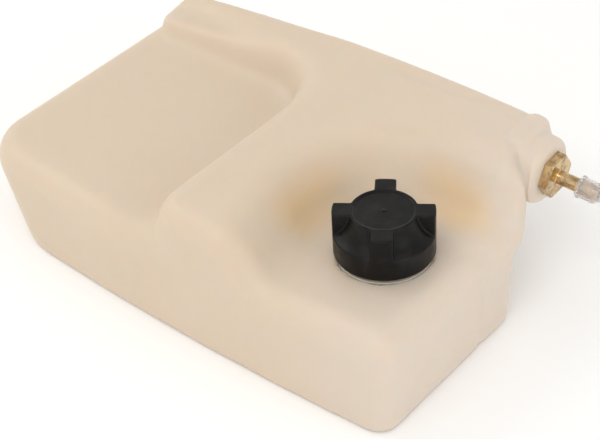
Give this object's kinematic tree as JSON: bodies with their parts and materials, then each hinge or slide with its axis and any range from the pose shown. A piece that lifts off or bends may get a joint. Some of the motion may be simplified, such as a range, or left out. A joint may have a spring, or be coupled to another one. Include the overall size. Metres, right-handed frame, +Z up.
{
  "type": "water_tank",
  "caption": "Small moulded natural polyethylene fresh water tank for a food truck, with a black lobed screw filler cap in a dished recess and a brass hexagonal hose outlet under a clear dust cap.",
  "frame": {"origin": "Centre of the bounding box at floor level, so that the tank stands on the XY plane.", "axes": "+X along the tank's long side towards the brass hose outlet, +Y towards the raised back, +Z up."},
  "size_m": [0.387, 0.2205, 0.1145],
  "materials": {
    "natural_polyethylene": "satin",
    "black_plastic": "satin",
    "liner_foam": "matte",
    "brass": "machined",
    "washer_rubber": "matte",
    "clear_vinyl": "glossy",
    "natural_tube": "satin",
    "strainer_plastic": "matte"
  },
  "bodies": {
    "tank": {"tank_shell": "natural_polyethylene", "outlet_insert": "brass", "outlet_washer": "washer_rubber", "hose_barb": "brass", "pickup_tube": "natural_tube", "foot_strainer": "strainer_plastic"},
    "liner": {"cap_liner": "liner_foam"},
    "cap": {"filler_cap": "black_plastic"},
    "dust_cover": {"dust_cap": "clear_vinyl"}
  },
  "joints": [
    {"name": "cap_rise", "type": "slide", "parent": "tank", "child": "liner", "axis": [-0.061, 0, 0.9981], "range_m": [0, 0.01251]},
    {"name": "cap_turn", "type": "hinge", "parent": "liner", "child": "cap", "pos_m": [0.10395, -0.02875, 0.074], "axis": [-0.061, 0, 0.9981], "range_deg": [0, 900]},
    {"name": "dust_cap_pull", "type": "slide", "parent": "tank", "child": "dust_cover", "axis": [1, 0, 0], "range_m": [0, 0.03]}
  ],
  "couplings": [
    {"joint": "cap_rise", "follows": "cap_turn", "m_per_rad": 0.00079577}
  ]
}
